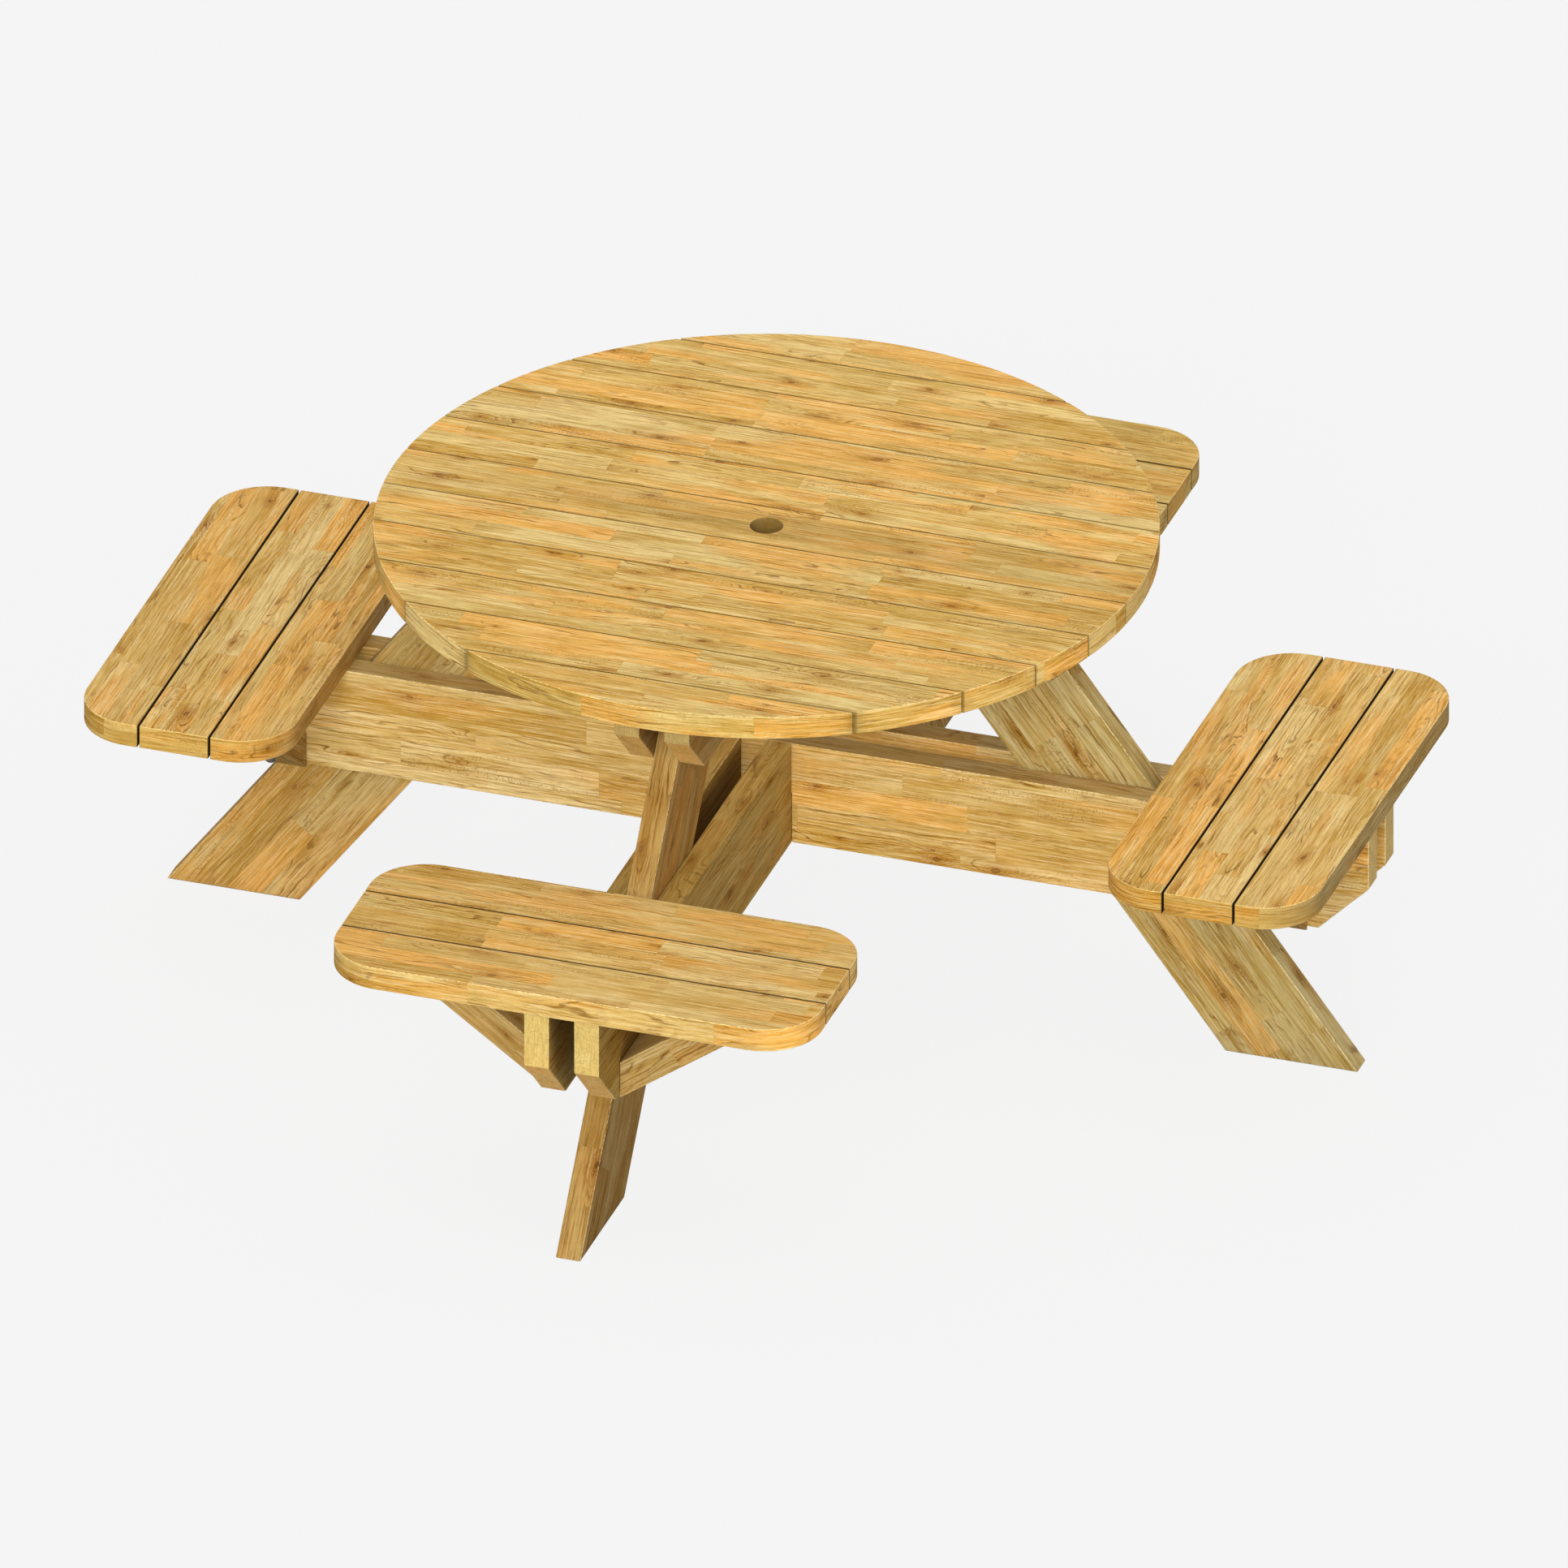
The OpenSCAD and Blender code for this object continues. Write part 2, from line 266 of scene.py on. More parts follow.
def growth_rings(g, cut, knot):
    """Level lines of a warped field: straight where the lamella is sawn on the
    quarter, long nested loops where it is sawn flat."""
    def make(figure):
        warp = g.field(cut.tree, (0.0043, 0.026, 0.020), detail=1.4, rough=0.42) - 0.5
        reach = (9.0 + cut.flatness ** 1.6 * 105.0) * figure
        level = cut.y + cut.z * (cut.tilt * 1.3 - 0.65)
        level = level + warp * reach
        level = level + knot.warp * (3.0 + cut.flatness * 7.0)
        return level + g.step(knot.far, 23.0, 0.0) * knot.present * 21.0
    return make


def ring_masks(g, cut, knot, figure):
    """The late wood of each ring, the bolder lines, and where the figure is broken."""
    level = growth_rings(g, cut, knot)(figure)
    spacing = 3.8 + cut.spacing * 3.6
    ring = g.math("FRACT", level / spacing)
    broken = g.field(cut.tree, (0.011, 0.055, 0.05), shift=(7.0, 3.0, 1.0))
    shown = 0.18 + g.step(broken, 0.42, 0.62) * 0.82
    late = g.step(ring, 0.30, 0.90) * g.step(ring, 1.0, 0.93) * shown
    wide_ring = g.math("FRACT", level / (spacing * 1.9))
    bold = g.step(wide_ring, 0.76, 0.91) * g.step(wide_ring, 1.0, 0.955)
    patches = g.field(cut.tree, (0.010, 0.038, 0.03), detail=1.6, shift=(1.0, 33.0, 9.0))
    where = g.math("MAXIMUM", g.step(patches, 0.46, 0.57), knot.flame * 0.9)
    where = where * g.step(cut.flatness, 0.22, 0.42)
    return late, bold * where, broken


def fibres(g, cut, broken):
    """Fibres, streaks, pores, ray fleck and curl."""
    tree = cut.tree
    pits = g.step(g.field(tree, (0.085, 1.35, 1.35), detail=1.0, rough=0.4), 0.60, 0.70)
    # ray fleck: short marks across the grain, in bands, in a few lamellae
    marks = g.field(tree, (0.42, 0.17, 0.8), rough=0.55, distortion=0.5)
    bands = g.field(tree, (0.008, 0.075, 0.05), detail=1.0, shift=(2.0, 4.0, 8.0))
    fleck = g.step(marks, 0.52, 0.62) * g.step(bands, 0.50, 0.60)
    return SimpleNamespace(
        fibre=g.field(tree, (0.032, 1.15, 1.15), detail=4.0, rough=0.62),
        fine=g.field(tree, (0.10, 3.2, 3.2), rough=0.6),
        streak=g.field(tree, (0.0095, 0.30, 0.30), rough=0.6, shift=(5.0, 1.0, 2.0)),
        pits=pits,
        pores=pits * (0.25 + g.step(broken, 0.42, 0.64) * 0.75),
        fleck=fleck * g.step(cut.fleck, 0.80, 0.84),
        # faint bands of light across the grain
        curl=g.field(tree, (0.085, 0.016, 0.02), detail=1.5, shift=(9.0, 2.0, 6.0)))


def wood_color(g, cut, knot, grain, late, bold, warmth):
    """The colour of sound, oiled wood, with its glue lines."""
    stain = g.field(cut.tree, (0.0050, 0.027, 0.025), rough=0.45)
    warm = g.field(cut.tree, (0.0034, 0.015, 0.012), detail=1.5, rough=0.45,
                   shift=(31.0, 7.0, 3.0))
    pale = g.field(cut.tree, (0.0045, 0.032, 0.03), shift=(3.0, 71.0, 13.0))
    knot_ring = g.step(g.math("FRACT", knot.near * 0.36), 0.45, 0.95)
    color = g.paint(
        g.ramp(cut.tone, TONES),
        (g.step(stain, 0.52, 0.70), 0.66, (193, 150, 62)),
        (g.step(warm, 0.52, 0.66), warmth, (236, 173, 86)),
        (g.step(pale, 0.55, 0.75), 0.75, (234, 206, 142)),
        (knot.flame, 0.55, (190, 136, 46)),
        (late, 0.52, (158, 107, 20)),
        (bold, 0.72, (128, 82, 16)),
        (g.step(grain.streak, 0.51, 0.66), 0.44, (165, 116, 24)),
        (g.step(grain.streak, 0.49, 0.34), 0.42, (244, 217, 160)),
        (g.step(grain.fibre, 0.50, 0.68), 0.46, (161, 112, 22)),
        (g.step(grain.fibre, 0.48, 0.30), 0.42, (246, 221, 168)),
        (g.step(grain.fine, 0.52, 0.72), 0.18, (148, 106, 48)),
        (grain.fleck, 0.50, (150, 108, 44)),
        (grain.pores, 0.42, (118, 76, 26)),
        (knot.halo, 0.30, (176, 118, 42)),
        (knot.halo * knot_ring, 0.50, (130, 82, 26)),
        (knot.core, 0.58, (122, 78, 22)))
    color = g.vector("ADD", g.vector("SCALE", color, scale=PUNCH),
                     tuple(MEAN_COLOR * (1.0 - PUNCH)))
    color = g.vector("MAXIMUM", color, DARKEST)
    # butt joints are crisp, row lines are only just visible
    return g.paint(
        color,
        (g.step(cut.to_butt, 0.75, 0.30), 0.04 + cut.tilt * 0.22, (134, 96, 42)),
        (g.step(cut.to_row, 0.45, 0.15), 0.08, (150, 108, 50)))


def timber_material(name, lamella_width, lamella_length, seed, figure=1.0, grime_and_shade=0.88,
                    warmth=0.66, upper_shade=0.0, ends=0.56, dirt_and_shade=(104, 80, 38)):
    """Glued, finger-jointed light hardwood. The mesh carries "wood" (mm: along the
    grain, across the board, through the board), "gdir" (the grain's direction in
    space), "piece" (one random number a board), "arris" (1 on a rounded edge),
    "gap" (1 on a side that faces the next board) and "stock_and_painted_shading" (the
    board's own tint, times painted light and shade on some faces).

    figure widens the loops of the grain; grime_and_shade, warmth, upper_shade and ends
    are the strengths of the soiling and painted shade in gaps, warm patches, painted
    shade on level upper faces and pale end grain; dirt_and_shade is the colour of the
    soiling and painted shade in gaps."""
    material = bpy.data.materials.new(name)
    g = Graph(material)
    wood = g.attribute("wood")
    piece = g.attribute("piece", "Fac")
    arris = g.attribute("arris", "Fac")
    gap = g.attribute("gap", "Fac")
    cut = lamellae(g, wood, piece, lamella_width, lamella_length, seed)
    knot = knots(g, cut.tree)
    late, bold, broken = ring_masks(g, cut, knot, figure)
    grain = fibres(g, cut, broken)
    color = wood_color(g, cut, knot, grain, late, bold, warmth)

    # painted shade: level upper faces are darker; end grain is paler and dotted
    normal = g.value("NewGeometry", output="Normal")
    if upper_shade:
        upward = g.split(normal)[2]
        color = g.paint(color, (g.step(upward, 0.86, 0.97), upper_shade, (112, 90, 50)))
    along = g.math("ABSOLUTE", g.vector("DOT_PRODUCT", normal, g.attribute("gdir")))
    end = g.step(along, 0.50, 0.85)
    lines = g.step(g.field(cut.tree, (0.012, 0.045, 0.62), rough=0.6), 0.47, 0.62)

    # outer arrises are pale and ragged, partly wear and partly a painted highlight; sides in a
    # gap get soiling and painted shade
    ragged = g.field(wood, (0.20, 0.70, 0.70), rough=0.6)
    outer = arris * g.math("SUBTRACT", 1.0, gap, clamp=True)
    # painted shade: darkened where the AO node finds occlusion, in creases and where boards meet
    occlusion = g.value("AmbientOcclusion", {"Distance": 0.075}, "AO",
                        samples=4, inside=False, only_local=False)
    crease_shade = g.step(occlusion, 0.50, 0.08)
    color = g.paint(
        color,
        (end, ends, (241, 213, 142)),
        (end * lines, 0.42, (182, 138, 66)),
        # wear and a painted highlight on the outer arrises
        (outer * g.step(ragged, 0.46, 0.58), 0.74, (252, 230, 172)),
        (outer * g.step(ragged, 0.46, 0.34), 0.42, (156, 112, 46)),
        # soiling and painted shade on the sides in a gap and on the hole's wall
        (gap, grime_and_shade, dirt_and_shade),
        # painted shade in creases
        (crease_shade, 0.72, (84, 60, 26)))
    # the boards differ a little in value
    brightness = 0.960 + g.white(g.xyz(piece, 4.4, 8.8)) * 0.08
    brightness = brightness * (0.945 + grain.curl * 0.11)
    # the tint holds the board's own colour and, on some faces, painted light and shade
    color = g.vector("MULTIPLY", color, g.attribute("stock_and_painted_shading"))
    color = g.vector("SCALE", color, scale=brightness)

    rough = 0.52 + grain.fibre * 0.16 + grain.pores * 0.12 + crease_shade * 0.15 - knot.core * 0.12
    # the height is read three times a sample, so it stays simple
    height = grain.fibre * 0.75 - grain.pits * 0.40 + ragged * arris * 0.8
    surface = g.value("BsdfPrincipled", {
        "Base Color": color, "Roughness": g.math("MINIMUM", rough, 0.9), "IOR": 1.38,
        "Specular IOR Level": 0.30,
        "Normal": g.bump(height, strength=0.6, distance=0.0004)})
    g.add("OutputMaterial", {0: surface})
    return material


def zinc_material():
    """Bright zinc plate on screw heads: spangle and dull patches."""
    material = bpy.data.materials.new("zinc_plate")
    g = Graph(material)
    place = g.vector("SCALE", g.value("TexCoord", output="Object"), scale=1000.0)  # mm
    spangle = g.noise(g.vector("MULTIPLY", place, (1.0, 1.0, 1.0)),
                      scale=2.2, detail=3.0, rough=0.6)
    patch = g.noise(place, scale=0.16, detail=3.0, rough=0.6)
    color = g.mix(g.step(patch, 0.38, 0.68), lin(186, 185, 182), lin(142, 138, 130))
    color = g.paint(color, (g.step(spangle, 0.55, 0.75), 0.35, (120, 116, 104)))
    surface = g.value("BsdfPrincipled", {
        "Base Color": color, "Metallic": 0.92,
        "Roughness": g.remap(spangle, 0.3, 0.7, to_min=0.28, to_max=0.52),
        "Normal": g.bump(spangle, strength=0.35, distance=0.0001)})
    g.add("OutputMaterial", {0: surface})
    return material


WOOD = {
    "top_timber": timber_material(
        "oiled_timber_top", lamella_width=BOARD_LAMELLA, lamella_length=330.0, seed=1.0,
        grime_and_shade=0.66, warmth=0.82, ends=0.40),
    "seat_timber": timber_material(
        "oiled_timber_seat", lamella_width=BOARD_LAMELLA, lamella_length=300.0, seed=2.0,
        figure=1.2, grime_and_shade=0.96, dirt_and_shade=(64, 47, 22)),
    "frame_timber": timber_material(
        "oiled_timber_frame", lamella_width=FRAME_LAMELLA, lamella_length=380.0, seed=3.0,
        warmth=0.36, upper_shade=0.50),
}
ZINC = zinc_material()


# ---------------------------------------------------------------- pieces
LEG_ANGLE = math.radians(53.0)  # both angles are above the level
BRACE_ANGLE = math.radians(35.5)
TOP_BOARDS = 11
BOARD_ARRIS = 0.0016  # arris radius on the top and the seats
FRAME_ARRIS = 0.0020
HOLE_BOARD = "top_board_06"  # the board with the parasol hole
HOLE_RADIUS = 0.025
HOLE_SPLIT_Z = 0.76  # between the upper and the lower rim of the hole
UP = Vector((0, 0, 1))
# each side of the table: (outwards, along the side)
SIDES = {"right": (Vector((1, 0, 0)), Vector((0, 1, 0))),
         "left": (Vector((-1, 0, 0)), Vector((0, 1, 0))),
         "back": (Vector((0, 1, 0)), Vector((1, 0, 0))),
         "front": (Vector((0, -1, 0)), Vector((1, 0, 0)))}

# the tint of the stock that each kind of board is sawn from
STOCK = {"top": (1.08, 1.09, 1.00), "leg": (0.87, 0.83, 0.76), "leg_front": (0.72, 0.675, 0.60),
         "leg_right": (0.81, 0.88, 0.92), "brace": (0.82, 0.80, 0.75),
         "bearer": (0.72, 0.71, 0.68), "rail_x": (1.10, 1.12, 1.12),
         "rail_y": (0.83, 0.82, 0.64), "seat": (1.04, 1.03, 0.96),
         "seat_back": (1.00, 1.01, 0.85)}
# painted light and shade: a further tint on faces towards -Y
FRONT_PAINTED_SHADING = {"leg_front": (0.86, 0.79, 0.62), "rail_y": (1.22, 1.26, 1.36),
         "bearer_y": (0.88, 0.95, 0.95), "top": (1.00, 1.01, 0.98),
         "seat_front": (1.06, 1.08, 1.05), "seat_back": (1.06, 1.08, 1.05),
         "seat_left": (0.99, 0.96, 0.78), "seat_right": (0.92, 0.88, 0.70),
         "top_board_01": (0.87, 0.91, 0.84)}
# painted light: a paler, redder tint on the cuts under the -Y beam ends, in place of
# FRONT_PAINTED_SHADING
CUT_PAINTED_LIGHT = {"rail_y": (1.60, 1.42, 1.56), "bearer_y": (1.46, 1.40, 1.31)}
# painted light and shade: rims towards +X are scaled by this
SIDE_PAINTED_SHADING = {"seat_right": 0.76, "seat_front": 1.38, "top_board": 1.18}
# painted shade: a leg that darkens towards its head: what each channel loses over HEAD_HEIGHT
HEAD_PAINTED_SHADE = {"leg_left": (0.56, 0.42, 0.34)}
HEAD_FOOT = 1.09  # the factor at the floor
HEAD_HEIGHT = 0.733
# painted light: upper faces that are paler towards the middle, under the table top: (at the
# middle, lost per metre)
UPPER_PAINTED_LIGHT = {"rail_y": (2.20, 1.50)}

# a straight stretch of a board's outline in plan; walked is the distance before it
RimSegment = namedtuple("RimSegment", "start way walked length", defaults=(0.0,))


def is_board(name):
    """True for the boards of the top and the seats, False for the frame."""
    return name.startswith(("top", "seat"))


def grain_axes(name):
    """(along the grain, across the board's width, through its thickness)."""
    x, y = Vector((1, 0, 0)), Vector((0, 1, 0))
    words = name.split("_")
    if name.startswith("top_board"):
        return x, y, UP
    if words[0] in ("rail", "bearer"):
        return (x, UP, y) if words[1] == "x" else (y, UP, x)
    if words[0] not in ("seat", "leg", "brace"):
        raise ValueError(name)
    out, side = SIDES[words[1]]
    if words[0] == "seat":
        return side, Vector((abs(out.x), abs(out.y), 0)), UP
    if words[0] == "leg":
        along = (-out * math.cos(LEG_ANGLE) + UP * math.sin(LEG_ANGLE)).normalized()
        return along, side.cross(along).normalized(), side
    lean, _ = SIDES[words[2]]
    along = (lean * math.cos(BRACE_ANGLE) + UP * math.sin(BRACE_ANGLE)).normalized()
    return along, Vector((abs(out.x), abs(out.y), 0)), along.cross(out).normalized()


def gap_sides(name):
    """Whether a top or seat board has a neighbour on its low and high side."""
    if name.startswith("top_board"):
        number = int(name[-2:])
        return number > 1, number < TOP_BOARDS
    if name.startswith("seat"):
        out, _ = SIDES[name.split("_")[1]]
        inner, outer = name.endswith("inner"), name.endswith("outer")
        if out.x + out.y > 0:
            return not inner, not outer
        return not outer, not inner
    return False, False


def rim_path(bm, name):
    """The segments of a top or seat board's plan outline. The walk round it starts
    and ends on a gap side."""
    face = max((f for f in bm.faces if f.normal.z > 0.95), key=lambda f: f.calc_area())
    points = [loop.vert.co.xy for loop in face.loops]
    count = len(points)
    low_corner, high_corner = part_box(name)
    across = grain_axes(name)[1].xy
    low, high = gap_sides(name)
    low_edge, high_edge = low_corner.xy.dot(across), high_corner.xy.dot(across)

    def on_gap(i):
        place = ((points[i] + points[(i + 1) % count]) / 2).dot(across)
        return (low and abs(place - low_edge) < 1e-3) or (high and abs(place - high_edge) < 1e-3)

    first = max((i for i in range(count) if on_gap(i)),
                key=lambda i: (points[(i + 1) % count] - points[i]).length)
    path, walked = [], 0.0
    for k in range(1, count + 1):
        start, end = points[(first + k) % count], points[(first + k + 1) % count]
        length = (end - start).length
        if length > 1e-6:
            path.append(RimSegment(start.copy(), (end - start) / length, walked, length))
            walked += length
    return path


def nearest(path, place):
    """The segment of the outline nearest to a point in plan."""
    def distance(segment):
        offset = place - segment.start
        t = min(segment.length, max(0.0, offset.dot(segment.way)))
        return (offset - segment.way * t).length
    return min(path, key=distance)


def rim_segment(name, path, face):
    """The outline segment that a rim face belongs to, or None off the rims."""
    if not is_board(name) or abs(face.normal.z) >= 0.6:
        return None
    place = face.center.xy
    if path:
        return nearest(path, place)
    if abs(place.x) > 0.3:  # the two ends of the board with the hole
        turn = 1.0 if place.x > 0 else -1.0
        return RimSegment(Vector((place.x, 0.0)), Vector((0.0, turn)), 0.5 + turn)
    return None


def is_arris(edge, name):
    """Whether an edge is rounded: sharp, convex and not part of a joint."""
    if len(edge.link_faces) != 2 or edge.calc_face_angle(0.0) < math.radians(25):
        return False
    middle = (edge.verts[0].co + edge.verts[1].co) / 2
    length = edge.calc_length()
    from_axis = math.hypot(middle.x, middle.y)
    hole = name == HOLE_BOARD
    upper_rim = hole and from_axis < 0.0262 and middle.z > HOLE_SPLIT_Z
    if length < 0.0035 and not upper_rim:
        return False
    if hole and middle.z < HOLE_SPLIT_Z and from_axis < 0.030:
        return False  # the lower rim of the parasol hole stays square
    if not edge.is_convex:
        return False
    if (name.startswith(("rail", "bearer")) and max(abs(middle.x), abs(middle.y)) < 0.0625
            and length < 0.13):
        return False  # the halving joint stays square
    # so does the corner beside a screw well under each rail end
    return not (name.startswith("rail_") and middle.z < 0.27 and length < 0.05)


def round_arrises(bm, name):
    """Bevels the arrises; returns the numbers of the vertices inside the rounding."""
    made = bmesh.ops.bevel(
        bm, geom=[edge for edge in bm.edges if is_arris(edge, name)],
        offset=BOARD_ARRIS if is_board(name) else FRAME_ARRIS, offset_type="OFFSET",
        segments=3, profile=0.5, affect="EDGES", clamp_overlap=False, loop_slide=True)
    strip = set(made["faces"])
    bmesh.ops.dissolve_degenerate(bm, dist=1e-6, edges=bm.edges)
    strip = set(f for f in strip if f.is_valid)
    bm.verts.index_update()
    return {v.index for v in bm.verts if v.link_faces and all(f in strip for f in v.link_faces)}


def gap_value(name, place, across_mm, half_width):
    """1 on a side that faces the next board or lines the hole, fading over the arris."""
    low, high = gap_sides(name)
    near = max(1.0 - (half_width - across_mm) / 1.6 if high else 0.0,
               1.0 - (across_mm + half_width) / 1.6 if low else 0.0)
    # the hole's wall counts as a gap side, so it gets the soiling and painted shade
    if name == HOLE_BOARD:
        near = max(near, 1.00 - (math.hypot(place.x, place.y) - HOLE_RADIUS) / 0.0026)
    return min(1.0, max(0.0, near))


def pick(table, *keys):
    """The entry under the first key that the table has, or no tint."""
    return next((table[key] for key in keys if key in table), (1.0, 1.0, 1.0))


def face_tint(name, pair, normal, on_rim):
    kind = name.split("_")[0]
    # painted light and shade: faces towards -Y, the cuts under the beam ends and the rims
    # towards +X are tinted by the way they face
    front = pick(FRONT_PAINTED_SHADING, name, pair, kind)
    facing = max(0.0, -normal.y)
    if not is_board(name):
        facing = 1.0 if facing > 0.6 else 0.0
        if facing and normal.z < -0.4:
            front = CUT_PAINTED_LIGHT.get(pair, front)
    side = 1.0 + (SIDE_PAINTED_SHADING.get(pair, 1.0) - 1.0) * max(0.0, normal.x) if on_rim else 1.0
    return [tint * side * (1.0 + (further - 1.0) * facing)
            for tint, further in zip(pick(STOCK, pair, kind), front)]


def corner_tint(pair, tint, place, normal):
    """A face's tint, graded along the pieces in HEAD_PAINTED_SHADE (painted shade) and
    UPPER_PAINTED_LIGHT (painted light).
    """
    if pair in HEAD_PAINTED_SHADE:
        return [t * (HEAD_FOOT - loss * place.z / HEAD_HEIGHT)
                for t, loss in zip(tint, HEAD_PAINTED_SHADE[pair])]
    if pair in UPPER_PAINTED_LIGHT and normal.z > 0.9:
        middle, loss = UPPER_PAINTED_LIGHT[pair]
        return [t * (middle - loss * abs(place.y)) for t in tint]
    return tint


def add_attributes(mesh, name, index, path, rounded):
    """Writes what the timber material reads."""
    rnd = random.Random(1000 + index * 37)
    seed = rnd.random() * 50 + 1
    origin = Vector((rnd.random() * 2400,
                     rnd.choice([0, 9, 18, 27]) + BOARD_LAMELLA * rnd.randint(0, 20),
                     rnd.random() * 30))
    rim_row = BOARD_LAMELLA / 2 + BOARD_LAMELLA * rnd.randint(0, 9)
    along, across, through = grain_axes(name)
    low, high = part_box(name)
    centre = (low + high) / 2
    pair = "_".join(name.split("_")[:2])

    half_width = (high - low).dot(across) * 500.0  # mm
    gaps = [gap_value(name, v.co, (v.co - centre).dot(across) * 1000.0, half_width)
            for v in mesh.vertices]
    wood, grain, stock_and_painted_shading = [], [], []
    for face in mesh.polygons:
        segment = rim_segment(name, path, face)
        tint = face_tint(name, pair, face.normal, bool(segment))
        for corner in face.loop_indices:
            place = mesh.vertices[mesh.loops[corner].vertex_index].co
            offset = (place - centre) * 1000.0
            if segment:
                # the figure runs round the outline, within one lamella's height
                distance = segment.walked + (place.xy - segment.start).dot(segment.way)
                wood += [distance * 1000.0 + origin.x, offset.z * 0.92 + rim_row, origin.z + 7.0]
                grain += [segment.way.x, segment.way.y, 0.0]
            else:
                wood += [offset.dot(along) + origin.x, offset.dot(across) + origin.y,
                         offset.dot(through) + origin.z]
                grain += list(along)
            # each corner's tint: the board's own colour and, on some faces, painted light and
            # shade
            stock_and_painted_shading += corner_tint(pair, tint, place, face.normal)

    for key, values in (("wood", wood), ("gdir", grain), ("stock_and_painted_shading", stock_and_painted_shading)):
        layer = mesh.attributes.new(key, "FLOAT_VECTOR", "CORNER")
        layer.data.foreach_set("vector", values)
    count = len(mesh.vertices)
    arrises = [1.0 if i in rounded else 0.0 for i in range(count)]
    for key, values in (("arris", arrises), ("piece", [seed] * count), ("gap", gaps)):
        mesh.attributes.new(key, "FLOAT", "POINT").data.foreach_set("value", values)


def make_timber(name, index):
    """A planed board from its CAD solid: merged faces and rounded arrises."""
    bm = bmesh.new()
    bm.from_mesh(NODES[name].data)
    bmesh.ops.remove_doubles(bm, verts=bm.verts, dist=2e-6)
    bmesh.ops.dissolve_limit(bm, angle_limit=math.radians(0.4), verts=bm.verts, edges=bm.edges)
    bm.normal_update()
    path = rim_path(bm, name) if is_board(name) and name != HOLE_BOARD else None
    rounded = round_arrises(bm, name)
    for face in bm.faces:
        face.smooth = True
    for edge in bm.edges:
        edge.smooth = not (len(edge.link_faces) == 2
                           and edge.calc_face_angle(0.0) > math.radians(33))
    mesh = bpy.data.meshes.new(name)
    bm.to_mesh(mesh)
    bm.free()
    add_attributes(mesh, name, index, path, rounded)
    obj = bpy.data.objects.new(name + "_wood", mesh)
    bpy.context.scene.collection.objects.link(obj)
    mesh.materials.append(WOOD[MATERIAL_SLOTS[name]])
    weighted = obj.modifiers.new("weighted", "WEIGHTED_NORMAL")
    weighted.keep_sharp = True
    weighted.weight = 80
    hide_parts(name)
    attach(obj, "root")


for index, name in enumerate(sorted(NODES)):
    if name.endswith("_screws"):
        screws = NODES[name]
        screws.data.materials.clear()
        screws.data.materials.append(ZINC)
    else:
        make_timber(name, index)

# ---------------------------------------------------------------- studio
BACKDROP = lin(245, 245, 245)


def floor_material():
    """Pale paper to the camera, and a dim floor to the light it bounces."""
    material = bpy.data.materials.new("studio_paper")
    g = Graph(material)
    glow = g.value("Emission", {"Color": BACKDROP})
    lit = g.value("BsdfDiffuse", {"Color": (0.86, 0.86, 0.86, 1)})
    dim = g.value("BsdfDiffuse", {"Color": (0.24, 0.235, 0.225, 1)})
    # from below the floor is clear, so that the underside can be looked at
    seen = g.mix_shader(g.value("NewGeometry", output="Backfacing"),
                        g.mix_shader(0.06, glow, lit), g.value("BsdfTransparent"))
    camera_ray = g.value("LightPath", output="Is Camera Ray")
    g.add("OutputMaterial", {0: g.mix_shader(camera_ray, dim, seen)})
    return material


def studio_floor():
    mesh = bpy.data.meshes.new("studio_floor")
    bm = bmesh.new()
    bmesh.ops.create_grid(bm, x_segments=2, y_segments=2, size=30.0)
    bm.to_mesh(mesh)
    bm.free()
    floor = bpy.data.objects.new("studio_floor", mesh)
    floor.location.z = -0.0006  # just clear of the feet
    bpy.context.scene.collection.objects.link(floor)
    mesh.materials.append(floor_material())


def studio_world():
    """The backdrop's colour to the camera, and a soft fill to everything else."""
    world = bpy.data.worlds.new("studio_world")
    bpy.context.scene.world = world
    g = Graph(world)
    seen = g.value("Background", {"Color": BACKDROP})
    fill = g.value("Background", {"Color": (0.98, 0.99, 1.0, 1), "Strength": 0.44})
    camera_ray = g.value("LightPath", output="Is Camera Ray")
    g.add("OutputWorld", {0: g.mix_shader(camera_ray, fill, seen)})


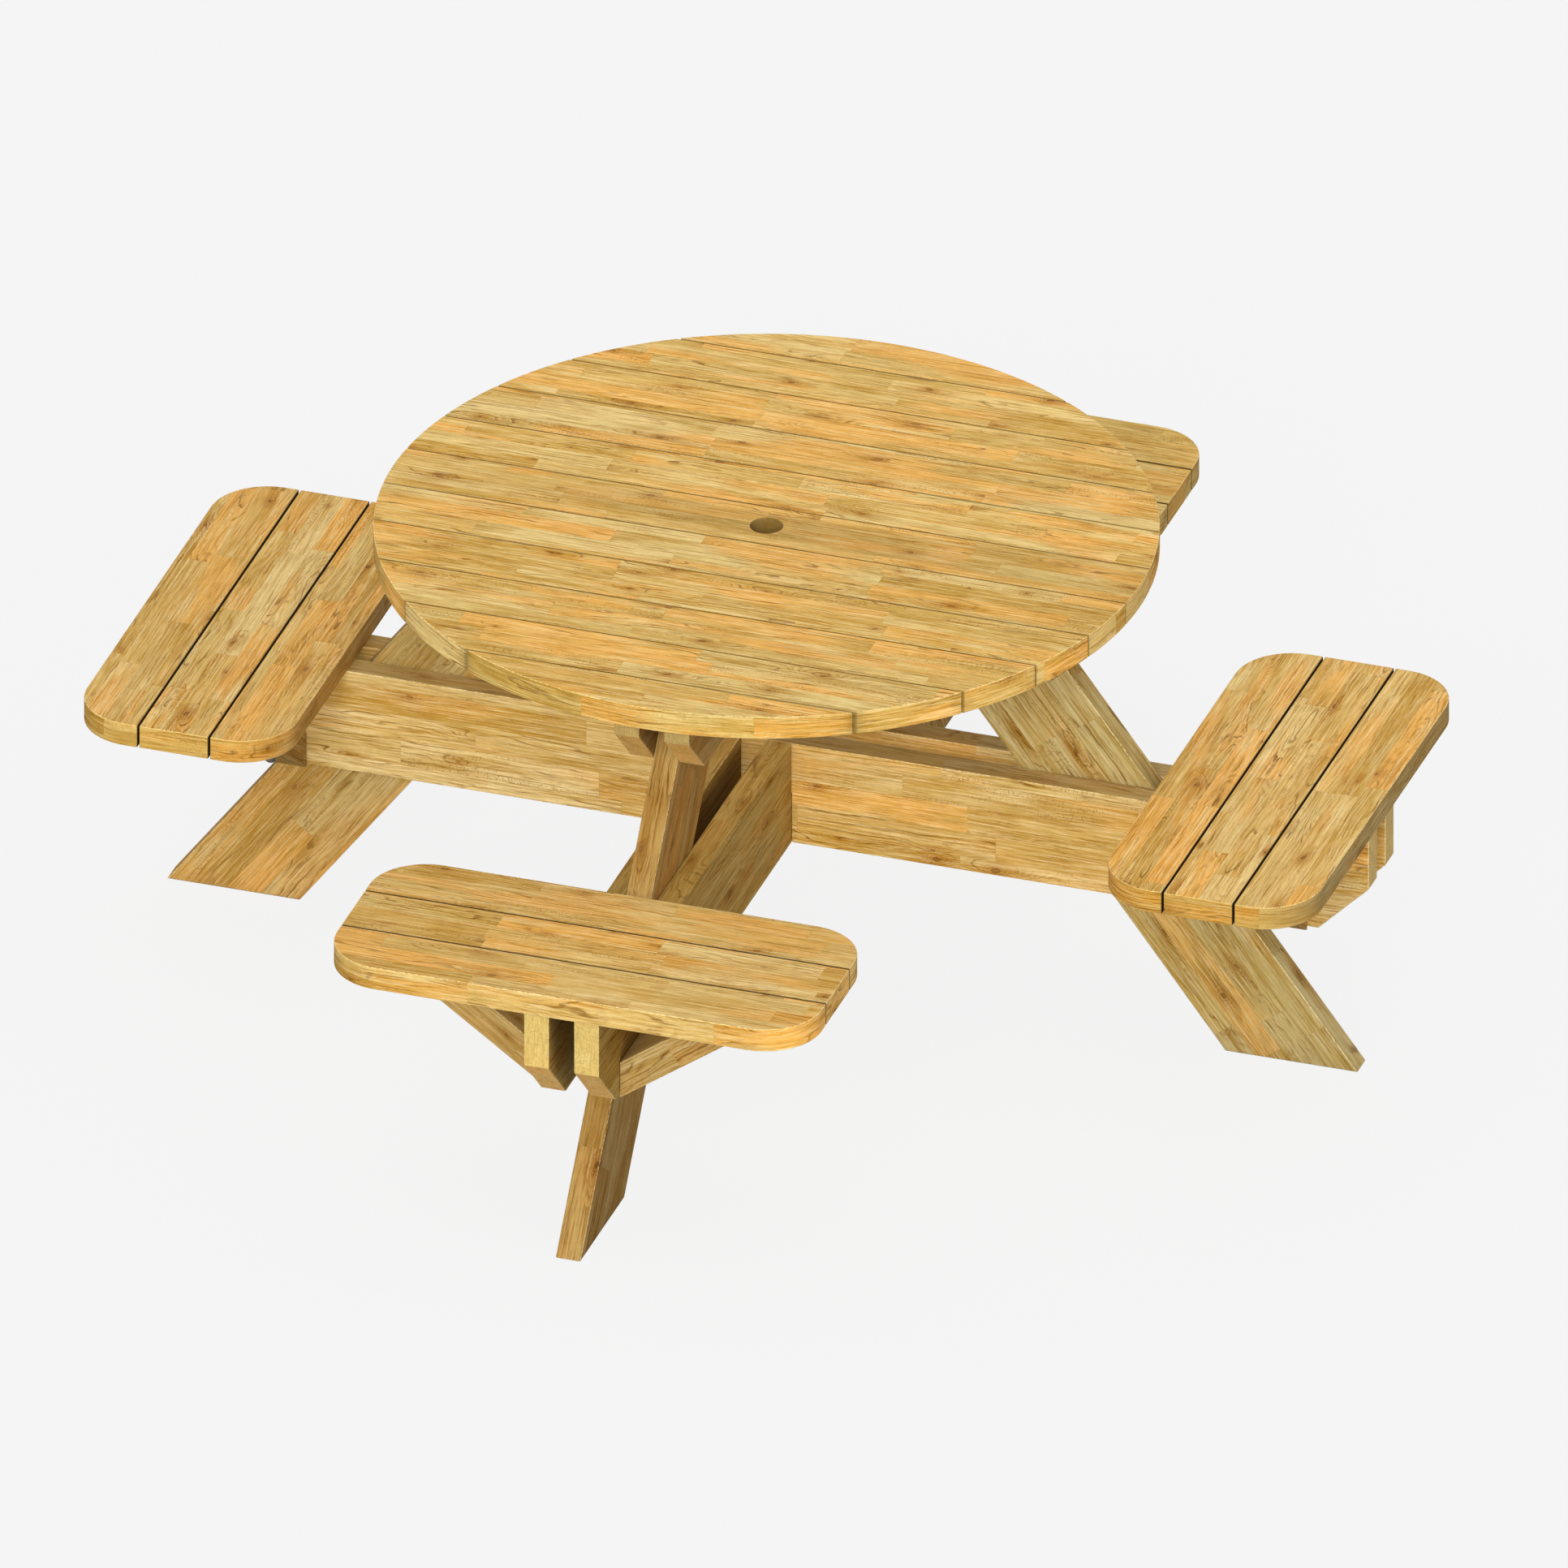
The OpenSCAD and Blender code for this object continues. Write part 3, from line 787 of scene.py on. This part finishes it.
def sun(name, azimuth, height, strength, spread, shadow=True):
    """A soft sun lamp, angles in degrees; azimuth 0 is from -Y, positive towards +X.
    One without a shadow only fills: it gives no shine either."""
    data = bpy.data.lights.new(name, "SUN")
    data.energy = strength
    data.angle = math.radians(spread)
    data.use_shadow = shadow
    obj = bpy.data.objects.new(name, data)
    obj.visible_glossy = shadow
    bpy.context.scene.collection.objects.link(obj)
    turn, rise = math.radians(azimuth), math.radians(height)
    source = Vector((math.sin(turn) * math.cos(rise), -math.cos(turn) * math.cos(rise),
                     math.sin(rise)))
    obj.rotation_euler = source.to_track_quat("Z", "Y").to_euler()
    obj.location = source * 6


def studio_camera():
    """Parallel projection, level, swung towards +X from the front and raised."""
    swing, rise = math.radians(18.46), math.radians(29.2)
    distance = 8
    right = Vector((math.cos(swing), math.sin(swing), 0))
    up = Vector((-math.sin(swing) * math.sin(rise), math.cos(swing) * math.sin(rise),
                 math.cos(rise)))
    to_camera = Vector((math.sin(swing) * math.cos(rise), -math.cos(swing) * math.cos(rise),
                        math.sin(rise)))
    # the middle of the view, right of and below a point on the Z axis
    centre = Vector((0, 0, 0.771)) + right * 0.02643551 - up * 0.39198328
    data = bpy.data.cameras.new("camera")
    data.type = "ORTHO"
    data.ortho_scale = 2.3755072  # metres across the view
    data.clip_end = 100
    camera = bpy.data.objects.new("camera", data)
    bpy.context.scene.collection.objects.link(camera)
    rows = [(right[i], up[i], to_camera[i], centre[i] + to_camera[i] * distance)
            for i in range(3)]
    camera.matrix_world = Matrix(rows + [(0, 0, 0, 1)])
    bpy.context.scene.camera = camera


studio_floor()
studio_world()
sun("key_front", azimuth=5, height=29, strength=0.85, spread=16)
sun("key_wrap", azimuth=5, height=29, strength=1.52, spread=16, shadow=False)
sun("low_fill", azimuth=5, height=-32, strength=0.20, spread=30, shadow=False)
sun("top_soft", azimuth=0, height=84, strength=0.66, spread=60)
sun("side_fill", azimuth=70, height=12, strength=0.46, spread=40)
studio_camera()
bpy.context.scene.view_settings.view_transform = "Standard"
bpy.context.scene.view_settings.look = "None"
